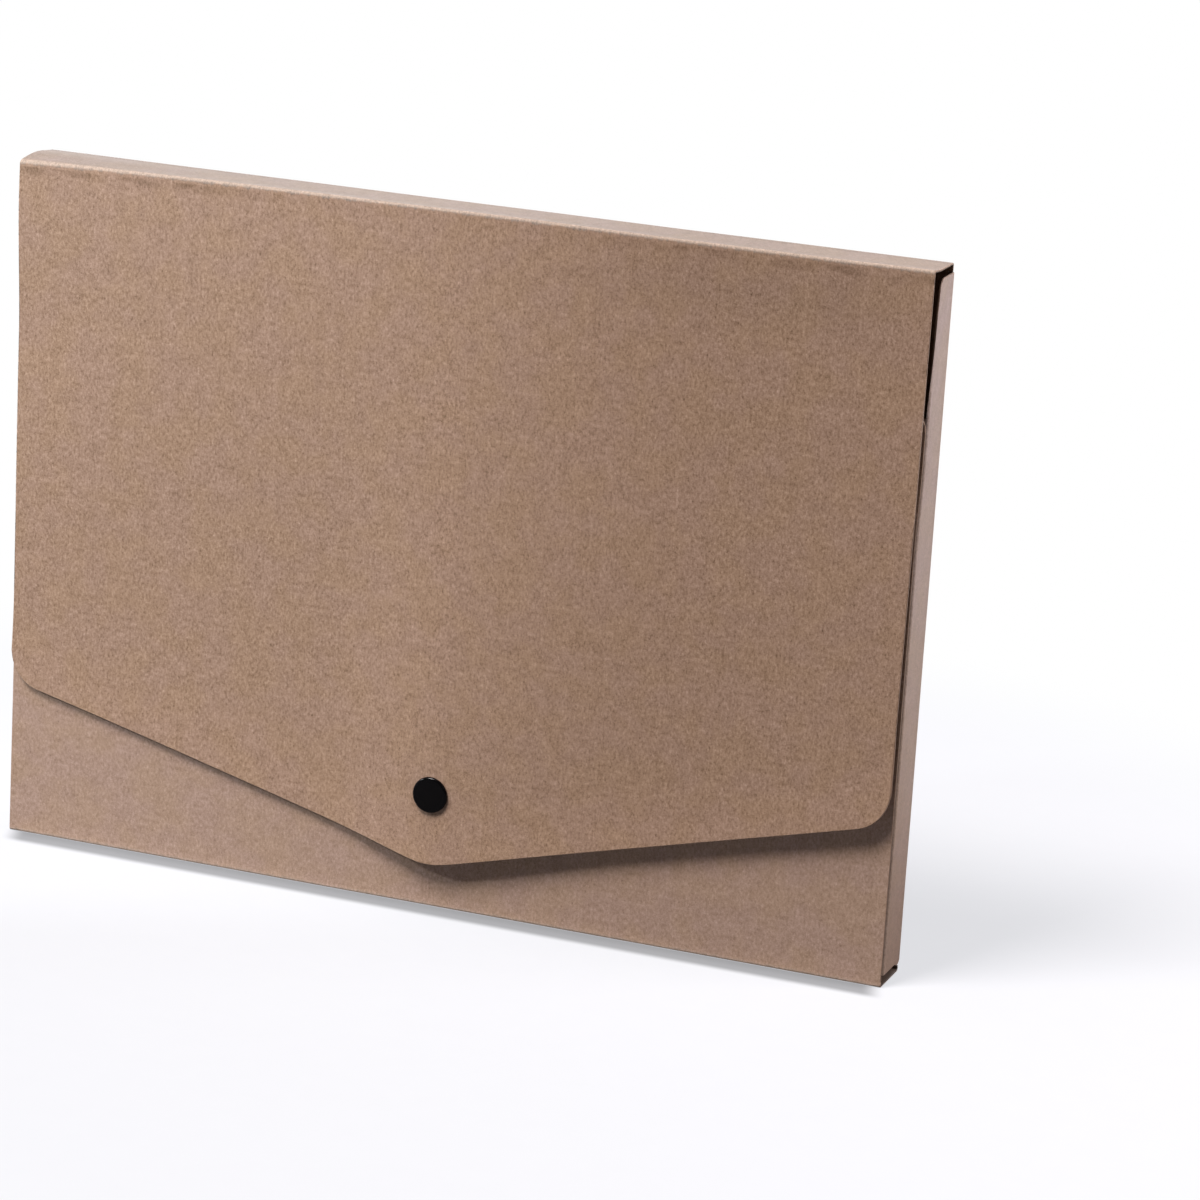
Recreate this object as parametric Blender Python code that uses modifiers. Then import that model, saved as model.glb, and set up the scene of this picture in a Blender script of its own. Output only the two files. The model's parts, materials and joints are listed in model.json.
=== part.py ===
"""Board document case with an envelope flap and a press snap, standing closed on its bottom spine.

The case is folded from one sheet of board. Each panel between creases is one object, and the folds that stay
folded belong to the narrow panels. Metres, +Z up, the flap faces -Y, the origin is under the middle of the case.
"""
import math

import bmesh
import bpy

MM = 0.001

# Case, measured over the outer faces
CASE_WIDTH = 330 * MM
CASE_HEIGHT = 245 * MM
POCKET_DEPTH = 20 * MM
SPINE_DEPTH = 21.5 * MM
BOARD = 0.7 * MM
GAP = 0.3 * MM

# Folds: outer radius, and the short straight lip that a fold ends in
FOLD_RADIUS = 1.0 * MM
FOLD_LIP = 1.0 * MM
FOLD_STEPS = 6
SPINE_INSET = 0.5 * MM

# Front panel
FRONT_HEIGHT = 198 * MM
FRONT_CORNER = 6 * MM

# Side walls, with a free front edge that draws back above the front panel, and their glued tabs
WALL_BOTTOM = 2.0 * MM
WALL_TAPER = 4.5 * MM
WALL_TAPER_FOOT = 196 * MM
WALL_TOP_CLEARANCE = 2.5 * MM
WALL_TOP_CORNER = 3.5 * MM
WALL_BOTTOM_CORNER = 6.0 * MM
CORNER_STEPS = 5
WALL_STEPS = 8
TAB_FOLD_RADIUS = 1.0 * MM
TAB_WIDTH = 20 * MM
TAB_TAPER = 12 * MM
TAB_CORNER = 3 * MM

# Envelope flap, measured down from its crease
FLAP_WIDTH = 329 * MM
FLAP_SIDE_DROP = 186.5 * MM
FLAP_POINT_DROP = 229 * MM
FLAP_CORNER = 14 * MM
FLAP_TIP = 30 * MM
FLAP_ARC_STEPS = 8

# Press snap: four turned parts, two on each board
SNAP_DROP = 203 * MM
SNAP_STEPS = 40
HOLE_RADIUS = 1.8 * MM
PIN_RADIUS = 1.35 * MM
BORE_RADIUS = 1.7 * MM
CAP_RADIUS = 6.4 * MM
CAP_HEIGHT = 1.7 * MM
CAP_RIM = 0.7 * MM
BACK_CAP_RADIUS = 6.2 * MM
BACK_CAP_HEIGHT = 1.4 * MM
SOCKET_RADIUS = 5.3 * MM
SOCKET_MOUTH_RADIUS = 4.7 * MM
SOCKET_HEIGHT = 2.2 * MM
SOCKET_FLOOR = 0.7 * MM
SOCKET_CAVITY_RADIUS = 3.5 * MM
SOCKET_LIP_RADIUS = 3.05 * MM
SOCKET_LIP = 0.5 * MM
STUD_RADIUS = 5.3 * MM
STUD_FLANGE = 0.7 * MM
KNOB_HEIGHT = 1.3 * MM
KNOB_RADIUS = 2.9 * MM
NECK_RADIUS = 2.6 * MM
RIVET_RADIUS = 1.9 * MM
RIVET_DEPTH = 0.4 * MM
ROUND = 0.3 * MM

# The closed snap holds the two boards this far apart
SNAP_STANDOFF = 3 * GAP + SOCKET_HEIGHT + STUD_FLANGE

# The flap leans out from its crease to clear the snap
CREASE_CLEARANCE = SPINE_DEPTH - BOARD - POCKET_DEPTH
FLAP_TILT = math.asin((SNAP_STANDOFF - CREASE_CLEARANCE) / SNAP_DROP)
FLAP_LEAN = SNAP_DROP * math.sin(FLAP_TILT)
CAP_REACH = (GAP + CAP_HEIGHT) * math.cos(FLAP_TILT)

# Planes of the outer faces, with the case centred between its back and the front of the cap
TOTAL_DEPTH = SPINE_DEPTH + FLAP_LEAN + CAP_REACH
BACK_Y = TOTAL_DEPTH / 2
FRONT_Y = BACK_Y - POCKET_DEPTH
FLAP_Y = BACK_Y - SPINE_DEPTH
TAB_Y = FRONT_Y + BOARD + GAP
SIDE_X = CASE_WIDTH / 2
SPINE_HALF = SIDE_X - SPINE_INSET
PANEL_FOOT = FOLD_RADIUS + FOLD_LIP + GAP
WALL_TOP = CASE_HEIGHT - WALL_TOP_CLEARANCE
SNAP_Z = CASE_HEIGHT - SNAP_DROP * math.cos(FLAP_TILT)

# A crease that opens is split down its middle, with the gap taken from both halves
HALF_FOLD = math.pi / 4 - GAP / 2 / (FOLD_RADIUS - BOARD / 2)

KRAFT = (0.36, 0.24, 0.155, 1.0)
BLACK = (0.012, 0.012, 0.014, 1.0)


def clear_scene():
    for obj in list(bpy.data.objects):
        bpy.data.objects.remove(obj, do_unlink=True)


def new_collection(name):
    collection = bpy.data.collections.new(name)
    bpy.context.scene.collection.children.link(collection)
    return collection


def material(name, colour, roughness):
    mat = bpy.data.materials.new(name)
    mat.use_nodes = True
    shader = mat.node_tree.nodes["Principled BSDF"]
    shader.inputs["Base Color"].default_value = colour
    shader.inputs["Roughness"].default_value = roughness
    shader.inputs["Metallic"].default_value = 0.0
    return mat


def add_object(name, data, collection, mat=None, parent=None, location=(0, 0, 0), rotation=(0, 0, 0)):
    obj = bpy.data.objects.new(name, data)
    collection.objects.link(obj)
    obj.parent = parent
    obj.location = location
    obj.rotation_euler = rotation
    if mat is not None:
        data.materials.append(mat)
    return obj


def arc(centre, radius, start, end, steps):
    """Points of an arc in a plane, with both ends."""
    points = []
    for i in range(steps + 1):
        angle = start + (end - start) * i / steps
        points.append((centre[0] + radius * math.cos(angle), centre[1] + radius * math.sin(angle)))
    return points


def folded_board(name, columns, rows, place, collection, mat, **placing):
    """A grid whose points place(column, row) puts on the board's outer face, thickened inwards."""
    sheet = bmesh.new()
    last_column = len(columns) - 1
    last_row = len(rows) - 1
    bmesh.ops.create_grid(sheet, x_segments=last_column, y_segments=last_row, size=1.0)
    for vert in sheet.verts:
        column = columns[round((vert.co.x + 1) / 2 * last_column)]
        row = rows[round((vert.co.y + 1) / 2 * last_row)]
        vert.co = place(column, row)
    mesh = bpy.data.meshes.new(name)
    sheet.to_mesh(mesh)
    sheet.free()
    obj = add_object(name, mesh, collection, mat, **placing)
    solidify = obj.modifiers.new("board", "SOLIDIFY")
    solidify.thickness = BOARD
    solidify.offset = -1.0
    solidify.use_even_offset = True
    return obj


def flat_board(name, outlines, collection, mat, location):
    """Closed outlines in the XZ plane, filled, with their outer face at the location's Y."""
    curve = bpy.data.curves.new(name, "CURVE")
    curve.dimensions = "2D"
    curve.fill_mode = "BOTH"
    curve.extrude = BOARD / 2
    for outline in outlines:
        spline = curve.splines.new("POLY")
        spline.points.add(len(outline) - 1)
        for point, (x, z) in zip(spline.points, outline):
            point.co = (x, z, 0, 1)
        spline.use_cyclic_u = True
    x, y, z = location
    return add_object(name, curve, collection, mat, location=(x, y + BOARD / 2, z), rotation=(math.pi / 2, 0, 0))


def turned(name, profile, closed, collection, mat, **placing):
    """A profile of (radius, height) points, given down its outer side, turned about its own Z."""
    verts = [(radius, 0, height) for radius, height in profile]
    edges = [(i, i + 1) for i in range(len(verts) - 1)]
    if closed:
        edges.append((len(verts) - 1, 0))
    mesh = bpy.data.meshes.new(name)
    mesh.from_pydata(verts, edges, [])
    obj = add_object(name, mesh, collection, mat, **placing)
    screw = obj.modifiers.new("turn", "SCREW")
    screw.axis = "Z"
    screw.angle = 2 * math.pi
    screw.steps = SNAP_STEPS
    screw.render_steps = SNAP_STEPS
    screw.use_merge_vertices = True
    screw.merge_threshold = 0.00001
    screw.use_smooth_shade = True
    return obj


def back_panel(collection, mat):
    """Flat back with the lower half of the spine crease along its top, wider where it clears the walls."""
    panel_half = SIDE_X - FOLD_RADIUS - FOLD_LIP - GAP
    crease_z = CASE_HEIGHT - FOLD_RADIUS
    rows = [(panel_half, BACK_Y, PANEL_FOOT), (panel_half, BACK_Y, crease_z - GAP / 2)]
    for y, z in arc((BACK_Y - FOLD_RADIUS, crease_z), FOLD_RADIUS, 0, HALF_FOLD, FOLD_STEPS):
        rows.append((SPINE_HALF, y, z))

    def place(side, row):
        half, y, z = row
        return (-side * half, y, z)

    return folded_board("back_panel", (-1, 1), rows, place, collection, mat)


def bottom_spine(collection, mat):
    """Flat base folded up at the front and the back."""
    lip_top = FOLD_RADIUS + FOLD_LIP
    profile = [(FRONT_Y, lip_top)]
    profile += arc((FRONT_Y + FOLD_RADIUS, FOLD_RADIUS), FOLD_RADIUS, math.pi, 1.5 * math.pi, FOLD_STEPS)
    profile += arc((BACK_Y - FOLD_RADIUS, FOLD_RADIUS), FOLD_RADIUS, 1.5 * math.pi, 2 * math.pi, FOLD_STEPS)
    profile.append((BACK_Y, lip_top))

    def place(side, point):
        return (-side * SPINE_HALF, point[0], point[1])

    return folded_board("bottom_spine", (-1, 1), profile, place, collection, mat)


def front_panel(collection, mat):
    """Flat front with rounded upper corners and the hole for the stud's pin."""
    inner = SPINE_HALF - FRONT_CORNER
    corner_z = FRONT_HEIGHT - FRONT_CORNER
    outline = [(-SPINE_HALF, PANEL_FOOT), (SPINE_HALF, PANEL_FOOT)]
    outline += arc((inner, corner_z), FRONT_CORNER, 0, math.pi / 2, CORNER_STEPS)
    outline += arc((-inner, corner_z), FRONT_CORNER, math.pi / 2, math.pi, CORNER_STEPS)
    hole = arc((0, SNAP_Z), HOLE_RADIUS, 0, 2 * math.pi, SNAP_STEPS)[:-1]
    return flat_board("front_panel", (outline, hole), collection, mat, (0, FRONT_Y, 0))


def corner_cut(radius, along):
    """How far a rounded corner has drawn in, at a distance along from the end of the edge."""
    if along >= radius:
        return 0.0
    reach = radius - max(along, 0.0)
    return radius - math.sqrt(radius ** 2 - reach ** 2)


def wall_top(inset):
    """Height of a wall's upper edge, at a distance back from its front edge: drawn back, rounded, then level."""
    if inset >= WALL_TAPER:
        return WALL_TOP - corner_cut(WALL_TOP_CORNER, inset - WALL_TAPER)
    rise = WALL_TOP - WALL_TOP_CORNER - WALL_TAPER_FOOT
    return WALL_TAPER_FOOT + rise * max(inset, 0.0) / WALL_TAPER


def side_wall(name, side, collection, mat):
    """Narrow wall with its fold from the back panel, its fold into the tab, and its shaped ends."""
    back_fold = FOLD_RADIUS * math.pi / 2
    tab_fold = TAB_FOLD_RADIUS * math.pi / 2
    back_centre = (SIDE_X - FOLD_RADIUS, BACK_Y - FOLD_RADIUS)
    tab_centre = (SIDE_X - TAB_FOLD_RADIUS, TAB_Y + TAB_FOLD_RADIUS)
    wall_run = back_centre[1] - tab_centre[1]
    girth = back_fold + wall_run + tab_fold

    path = [(-FOLD_LIP, back_centre[0] - FOLD_LIP, BACK_Y)]
    for i, (x, y) in enumerate(arc(back_centre, FOLD_RADIUS, math.pi / 2, 0, FOLD_STEPS)):
        path.append((back_fold * i / FOLD_STEPS, x, y))
    for i in range(1, WALL_STEPS):
        run = wall_run * i / WALL_STEPS
        path.append((back_fold + run, SIDE_X, back_centre[1] - run))
    for i, (x, y) in enumerate(arc(tab_centre, TAB_FOLD_RADIUS, 0, -math.pi / 2, FOLD_STEPS)):
        path.append((back_fold + wall_run + tab_fold * i / FOLD_STEPS, x, y))
    path.append((girth + FOLD_LIP, tab_centre[0] - FOLD_LIP, TAB_Y))

    def place(point, end):
        along, x, y = point
        if end < 0:
            z = WALL_BOTTOM + corner_cut(WALL_BOTTOM_CORNER, along)
        else:
            z = wall_top(girth - along)
        return (side * x, y, z)

    ends = (1, -1) if side > 0 else (-1, 1)
    return folded_board(name, path, ends, place, collection, mat)


def glue_tab(name, side, collection, mat):
    """Flat tab with tapered ends and rounded free corners."""
    fold_x = SIDE_X - TAB_FOLD_RADIUS - FOLD_LIP - GAP
    free_x = fold_x - TAB_WIDTH
    low = WALL_BOTTOM + WALL_BOTTOM_CORNER
    top = FRONT_HEIGHT - FRONT_CORNER
    outline = [(fold_x, low), (fold_x, top)]
    outline += arc((free_x + TAB_CORNER, top - TAB_TAPER), TAB_CORNER, math.pi / 2, math.pi, CORNER_STEPS)
    outline += arc((free_x + TAB_CORNER, low + TAB_TAPER), TAB_CORNER, math.pi, 1.5 * math.pi, CORNER_STEPS)
    mirrored = [(side * x, z) for x, z in outline]
    return flat_board(name, (mirrored,), collection, mat, (0, TAB_Y, 0))


def top_spine(collection, mat, axis):
    """Flat top between the halves of its two creases, in the frame of the spine crease."""
    reach = FOLD_RADIUS
    upright = math.pi / 2
    profile = arc((-reach, -reach), FOLD_RADIUS, upright - HALF_FOLD, upright, FOLD_STEPS)
    profile += arc((reach - SPINE_DEPTH, -reach), FOLD_RADIUS, upright, upright + HALF_FOLD, FOLD_STEPS)

    def place(side, point):
        return (-side * SPINE_HALF, point[0], point[1])

    return folded_board("top_spine", (-1, 1), profile, place, collection, mat, parent=axis)


def flap_columns():
    """Places across the flap where its lower edge needs a point: the two corners and the tip."""
    slope = math.atan2(FLAP_POINT_DROP - FLAP_SIDE_DROP, FLAP_WIDTH / 2)
    tip = [FLAP_TIP * math.sin(slope * i / FLAP_ARC_STEPS) for i in range(FLAP_ARC_STEPS + 1)]
    corner_x = FLAP_WIDTH / 2 - FLAP_CORNER
    corner = []
    for i in range(FLAP_ARC_STEPS + 1):
        turn = slope + (math.pi / 2 - slope) * i / FLAP_ARC_STEPS
        corner.append(corner_x + FLAP_CORNER * math.sin(turn))
    right = tip + corner
    return [-x for x in reversed(right[1:])] + right


def flap_drop(x):
    """Length of the flap at x, from its crease to its lower edge."""
    across = abs(x)
    slope = math.atan2(FLAP_POINT_DROP - FLAP_SIDE_DROP, FLAP_WIDTH / 2)
    corner_x = FLAP_WIDTH / 2 - FLAP_CORNER
    if across <= FLAP_TIP * math.sin(slope):
        centre = FLAP_POINT_DROP - FLAP_TIP / math.cos(slope)
        return centre + math.sqrt(FLAP_TIP ** 2 - across ** 2)
    if across >= corner_x + FLAP_CORNER * math.sin(slope):
        centre = FLAP_POINT_DROP - corner_x * math.tan(slope) - FLAP_CORNER / math.cos(slope)
        return centre + math.sqrt(max(FLAP_CORNER ** 2 - (across - corner_x) ** 2, 0.0))
    return FLAP_POINT_DROP - across * math.tan(slope)


def closure_flap(collection, cutters, mat, axis):
    """Envelope flap in the frame of its crease: half the crease, the flat, and the hole for the cap's pin."""
    rows = arc((FOLD_RADIUS, -FOLD_RADIUS), FOLD_RADIUS, math.pi - HALF_FOLD, math.pi, FOLD_STEPS)
    rows.append((0, None))

    def place(x, row):
        y, z = row
        return (x, y, -flap_drop(x) if z is None else z)

    columns = [-x for x in flap_columns()]
    flap = folded_board("closure_flap", columns, rows, place, collection, mat, parent=axis)

    drill = bmesh.new()
    bmesh.ops.create_cone(drill, cap_ends=True, segments=SNAP_STEPS, radius1=HOLE_RADIUS, radius2=HOLE_RADIUS,
                          depth=4 * BOARD)
    mesh = bpy.data.meshes.new("pin_hole")
    drill.to_mesh(mesh)
    drill.free()
    cutter = add_object("pin_hole", mesh, cutters, parent=axis, location=(0, BOARD / 2, -SNAP_DROP),
                        rotation=(math.pi / 2, 0, 0))
    cutter.hide_render = True
    cutter.display_type = "WIRE"
    hole = flap.modifiers.new("pin_hole", "BOOLEAN")
    hole.operation = "DIFFERENCE"
    hole.object = cutter
    return flap


def capped_pin(radius, height, grip):
    """Domed cap on a pin whose end is spread as a rivet. Height 0 is the cap's underside, grip is the pin's length."""
    rim = arc((radius - CAP_RIM, CAP_RIM), CAP_RIM, math.pi / 2, -math.pi / 4, FOLD_STEPS)
    profile = [(0, height), (radius * 0.55, height - (height - 2 * CAP_RIM) * 0.35)]
    profile += rim
    profile += [(radius - 2 * CAP_RIM, 0), (PIN_RADIUS, 0)]
    profile += [(PIN_RADIUS, RIVET_DEPTH - grip), (RIVET_RADIUS, -grip), (0, -grip)]
    return profile


def snap_cap(collection, mat, axis):
    """Cap on the flap's outer face. Its pin runs through the board and the floor of the socket."""
    grip = GAP + BOARD + GAP + SOCKET_FLOOR
    profile = capped_pin(CAP_RADIUS, CAP_HEIGHT, grip)
    return turned("snap_cap", profile, False, collection, mat, parent=axis, location=(0, -GAP, -SNAP_DROP),
                  rotation=(math.pi / 2, 0, 0))


def snap_socket(collection, mat, axis):
    """Female half on the flap's inner face. Height 0 is its mouth, and its floor lies against the board."""
    floor = SOCKET_HEIGHT - SOCKET_FLOOR
    spread = RIVET_RADIUS - PIN_RADIUS
    profile = [(BORE_RADIUS, SOCKET_HEIGHT), (SOCKET_RADIUS - ROUND, SOCKET_HEIGHT)]
    profile += [(SOCKET_RADIUS, SOCKET_HEIGHT - ROUND), (SOCKET_RADIUS, floor)]
    profile += [(SOCKET_MOUTH_RADIUS, ROUND), (SOCKET_MOUTH_RADIUS - ROUND, 0)]
    profile += [(SOCKET_LIP_RADIUS + ROUND, 0), (SOCKET_LIP_RADIUS, ROUND), (SOCKET_LIP_RADIUS, SOCKET_LIP)]
    profile += [(SOCKET_CAVITY_RADIUS, SOCKET_LIP + ROUND), (SOCKET_CAVITY_RADIUS, floor)]
    profile += [(BORE_RADIUS + spread, floor), (BORE_RADIUS, floor + RIVET_DEPTH)]
    depth = BOARD + GAP + SOCKET_HEIGHT
    return turned("snap_socket", profile, True, collection, mat, parent=axis, location=(0, depth, -SNAP_DROP),
                  rotation=(math.pi / 2, 0, 0))


def snap_stud(collection, mat):
    """Male half on the front panel's outer face. Height 0 is the flange's underside."""
    top = STUD_FLANGE + KNOB_HEIGHT
    bulge = STUD_FLANGE + 0.6 * KNOB_HEIGHT
    spread = RIVET_RADIUS - PIN_RADIUS
    profile = [(BORE_RADIUS + spread, top), (NECK_RADIUS, top), (KNOB_RADIUS, bulge)]
    profile += [(NECK_RADIUS, STUD_FLANGE + ROUND), (NECK_RADIUS + ROUND / 2, STUD_FLANGE)]
    profile += [(STUD_RADIUS - ROUND, STUD_FLANGE), (STUD_RADIUS, STUD_FLANGE - ROUND), (STUD_RADIUS, ROUND)]
    profile += [(STUD_RADIUS - ROUND, 0), (BORE_RADIUS, 0), (BORE_RADIUS, top - RIVET_DEPTH)]
    return turned("snap_stud", profile, True, collection, mat, location=(0, FRONT_Y - GAP, SNAP_Z),
                  rotation=(math.pi / 2, 0, 0))


def snap_back_cap(collection, mat):
    """Cap inside the pocket. Its pin runs out through the front panel and the stud."""
    grip = GAP + BOARD + GAP + STUD_FLANGE + KNOB_HEIGHT
    profile = capped_pin(BACK_CAP_RADIUS, BACK_CAP_HEIGHT, grip)
    return turned("snap_back_cap", profile, False, collection, mat, location=(0, FRONT_Y + BOARD + GAP, SNAP_Z),
                  rotation=(-math.pi / 2, 0, 0))


def main():
    clear_scene()
    parts = new_collection("snap_envelope_folder")
    cutters = new_collection("cutters")

    spine_axis = add_object("spine_crease_axis", None, parts, location=(0, BACK_Y, CASE_HEIGHT))
    flap_axis = add_object("flap_crease_axis", None, parts, parent=spine_axis, location=(0, -SPINE_DEPTH, 0),
                           rotation=(-FLAP_TILT, 0, 0))

    back_panel(parts, material("back_board", KRAFT, 0.85))
    bottom_spine(parts, material("bottom_board", KRAFT, 0.85))
    front_panel(parts, material("front_board", KRAFT, 0.85))
    for name, side in (("left", -1), ("right", 1)):
        side_wall(name + "_side_wall", side, parts, material(name + "_wall_board", KRAFT, 0.85))
        glue_tab(name + "_glue_tab", side, parts, material(name + "_tab_board", KRAFT, 0.85))
    top_spine(parts, material("spine_board", KRAFT, 0.85), spine_axis)
    closure_flap(parts, cutters, material("flap_board", KRAFT, 0.85), flap_axis)

    snap_cap(parts, material("cap_black", BLACK, 0.2), flap_axis)
    snap_socket(parts, material("socket_black", BLACK, 0.35), flap_axis)
    snap_stud(parts, material("stud_black", BLACK, 0.35))
    snap_back_cap(parts, material("back_cap_black", BLACK, 0.25))


main()
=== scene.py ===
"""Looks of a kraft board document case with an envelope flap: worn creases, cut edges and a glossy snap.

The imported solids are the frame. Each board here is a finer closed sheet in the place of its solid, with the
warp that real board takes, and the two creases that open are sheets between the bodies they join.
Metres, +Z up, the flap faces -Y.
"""

import json
import math

import bmesh
import bpy
import numpy as np
from mathutils import Matrix, Vector, noise


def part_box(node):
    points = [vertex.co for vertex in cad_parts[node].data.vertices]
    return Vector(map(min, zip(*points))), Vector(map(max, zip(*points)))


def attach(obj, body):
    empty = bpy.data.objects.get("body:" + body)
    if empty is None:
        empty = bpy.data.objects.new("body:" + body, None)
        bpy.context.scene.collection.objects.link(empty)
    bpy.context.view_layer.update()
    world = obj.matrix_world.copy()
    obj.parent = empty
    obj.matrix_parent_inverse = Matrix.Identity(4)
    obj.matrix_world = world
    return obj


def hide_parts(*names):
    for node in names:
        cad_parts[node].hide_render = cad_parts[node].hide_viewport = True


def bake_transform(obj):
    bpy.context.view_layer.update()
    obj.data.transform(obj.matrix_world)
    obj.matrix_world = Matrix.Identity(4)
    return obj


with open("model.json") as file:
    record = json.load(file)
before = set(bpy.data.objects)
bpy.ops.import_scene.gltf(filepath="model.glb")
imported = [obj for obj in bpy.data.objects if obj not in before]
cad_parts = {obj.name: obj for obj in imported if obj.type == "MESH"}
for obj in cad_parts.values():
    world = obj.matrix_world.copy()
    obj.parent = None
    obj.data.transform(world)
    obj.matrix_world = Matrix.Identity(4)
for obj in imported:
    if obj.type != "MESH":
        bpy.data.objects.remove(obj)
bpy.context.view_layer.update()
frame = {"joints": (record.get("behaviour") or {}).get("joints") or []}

MM = 0.001
TINY = 1e-9


def mm(*sizes):
    """Sizes in millimetres, as metres."""
    return tuple(size * MM for size in sizes)


# A side wall ends lower than its solid at the top, and higher at the bottom once clear of its back fold
WALL_SLACK = 0.6 * MM
WALL_LIFT = 2.0 * MM
WALL_LIFT_RUN = mm(2, 7)

# Sizes read from the frame
BACK_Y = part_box("back_panel")[1].y
FRONT_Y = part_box("front_panel")[0].y
FRONT_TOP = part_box("front_panel")[1].z
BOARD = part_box("front_panel")[1].y - FRONT_Y
TOP_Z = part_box("top_spine")[1].z
SPINE_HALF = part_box("top_spine")[1].x
SIDE_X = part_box("right_side_wall")[1].x
WALL_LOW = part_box("right_side_wall")[0].z
WALL_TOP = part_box("right_side_wall")[1].z - WALL_SLACK
TAB_FREE_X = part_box("right_glue_tab")[0].x
TAB_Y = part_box("right_glue_tab")[0].y
TAB_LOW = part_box("right_glue_tab")[0].z
TAB_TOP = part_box("right_glue_tab")[1].z
FLAP_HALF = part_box("closure_flap")[1].x
FLAP_Y = next(j["pos_m"][1] for j in frame["joints"] if j["name"] == "flap_crease")
FLAP_TILT = math.atan2(FLAP_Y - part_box("closure_flap")[0].y, TOP_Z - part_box("closure_flap")[0].z)

# Sizes shared with the solids' own design
FOLD_RADIUS = 1.0 * MM
FOLD_LIP = 1.0 * MM
FRONT_CORNER = 6 * MM
WALL_TAPER_FOOT = 196 * MM
WALL_BOTTOM_CORNER = 6 * MM
TAB_TAPER = 12 * MM
TAB_CORNER = 3 * MM
FLAP_SIDE_DROP = 186.5 * MM
FLAP_SHARP_DROP = 229 * MM
FLAP_CORNER = 14 * MM
FLAP_CORNER_X = FLAP_HALF - FLAP_CORNER
FLAP_TIP = 30 * MM
FLAP_SLOPE = math.atan2(FLAP_SHARP_DROP - FLAP_SIDE_DROP, FLAP_HALF)
SNAP_DROP = 203 * MM
SNAP_Z = TOP_Z - SNAP_DROP * math.cos(FLAP_TILT)
GAP = 0.3 * MM

# A side wall's upper front corner, blunter than its solid's
WALL_TAPER = 1.9 * MM
WALL_TOP_CORNER = 5 * MM

# Fineness of the sheets: even steps, closer ones near their ends, and the steps round arcs
PITCH = 7 * MM
END_STEPS = mm(0, 0.7, 1.6, 3, 5)
EDGE_ROW = 1.2 * MM
FOLD_STEPS = 12
CORNER_STEPS = 6
TAB_PITCH = 3 * MM
TAB_END = 5 * MM
TAB_END_STEPS = mm(0, 0.3, 0.8, 1.5, 2.2, 3)
FLAP_ROW_PITCH = PITCH * 0.8
FLAP_COLUMN_PITCH = PITCH * 0.7
FLAP_CORNER_STEPS = 14
FLAP_LAST_ROW = 3 * MM

# Rounded cut edges, holes, the lips beside the creases, and how far apart two faces lie in the pattern
RIM = 0.2 * MM
RIM_STEPS = 3
MITRE_LIMIT = 0.5
HOLE_RADIUS = 1.8 * MM
HOLE_REACH = 4 * MM
HOLE_BLOCK = HOLE_REACH * 1.01
HOLE_CLEAR = HOLE_REACH * 1.5
OPEN_LIP = 3 * MM
LIP_SLACK = 0.05 * MM
BACK_LIP = TOP_Z - FOLD_RADIUS - WALL_TOP - LIP_SLACK
INNER_LAYER = 40 * MM

# The sheet's lengths from the middle of the flap's crease: positive down the flap, negative over the top,
# down the back, under the base and up the front
FLAP_TURN = math.pi / 2 - FLAP_TILT
FLAP_TANGENT = FOLD_RADIUS * math.tan(FLAP_TURN / 2)
FLAP_START = FOLD_RADIUS * FLAP_TURN / 2
QUARTER = FOLD_RADIUS * math.pi / 2
SPINE_FRONT = -FLAP_START
SPINE_BACK = SPINE_FRONT - (BACK_Y - FLAP_Y - FLAP_TANGENT - FOLD_RADIUS)
BACK_TOP = SPINE_BACK - QUARTER
BACK_FOOT = BACK_TOP - (TOP_Z - 2 * FOLD_RADIUS)
BASE_BACK = BACK_FOOT - QUARTER
BASE_FRONT = BASE_BACK - (BACK_Y - FRONT_Y - 2 * FOLD_RADIUS)
FRONT_FOOT = BASE_FRONT - QUARTER
FOLD_MIDDLES = (0.0, SPINE_BACK - QUARTER / 2, BACK_FOOT - QUARTER / 2, BASE_FRONT - QUARTER / 2)
# How worn each fold is, worn folds being paler; on the base's front fold the pale wear also paints light over
# the shade of its rounded underside
FOLD_WEAR_AND_LIGHT = (1.0, 0.7, 0.35, 0.5)
WALL_WEAR = 0.4
WALL_SEAM = SIDE_X - FOLD_RADIUS - FOLD_LIP

# How the closed board has settled. A pair says between which places a warp comes or goes: DEPTH down the
# flap, SIDE out from the middle, END in from the right end, HEIGHT above the floor, WALL from its two folds.
# The flap's crease droops, flares and bows out at its left end, and the spine is crowned there
DROOP = 1.6 * MM
DROOP_LENGTH = 60 * MM
CROWN = 1.6 * MM
CROWN_LENGTH = 52 * MM
CROWN_LEAN = 1.2
FLARE = 0.8 * MM
BULGE = 1.5 * MM
BULGE_LENGTH = 70 * MM
BULGE_DEPTH = mm(10, 60)
# The crushed crease stands up a little, and overhangs the front on its right half
RIDGE = 0.65 * MM
RIDGE_REACH = 4 * MM
OVERHANG = 1.1 * MM
OVERHANG_SIDE = mm(20, 90)
OVERHANG_END = mm(0, 40)
OVERHANG_DEPTH = mm(0, 28)
# The flap lies close to the front at its lower left and bows in at its lower right. Its right edge is
# drawn in, and its lower edge curls out, less on the left
CLOSE_IN = 3.2 * MM
CLOSE_DEPTH = mm(35, 190)
CLOSE_SIDE = mm(-6, 42)
BOW_IN = 0.8 * MM
BOW_DEPTH = mm(110, 200)
BOW_SIDE = mm(8, 70)
BOW_END = mm(5, 70)
TUCK_IN = 0.5 * MM
TUCK_DEPTH = mm(60, 190)
TUCK_SIDE = (120 * MM, FLAP_HALF)
CURL = 0.7 * MM
CURL_REACH = 22 * MM
CURL_LOSS = 0.3
CURL_LOSS_SIDE = mm(4, 60)
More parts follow.
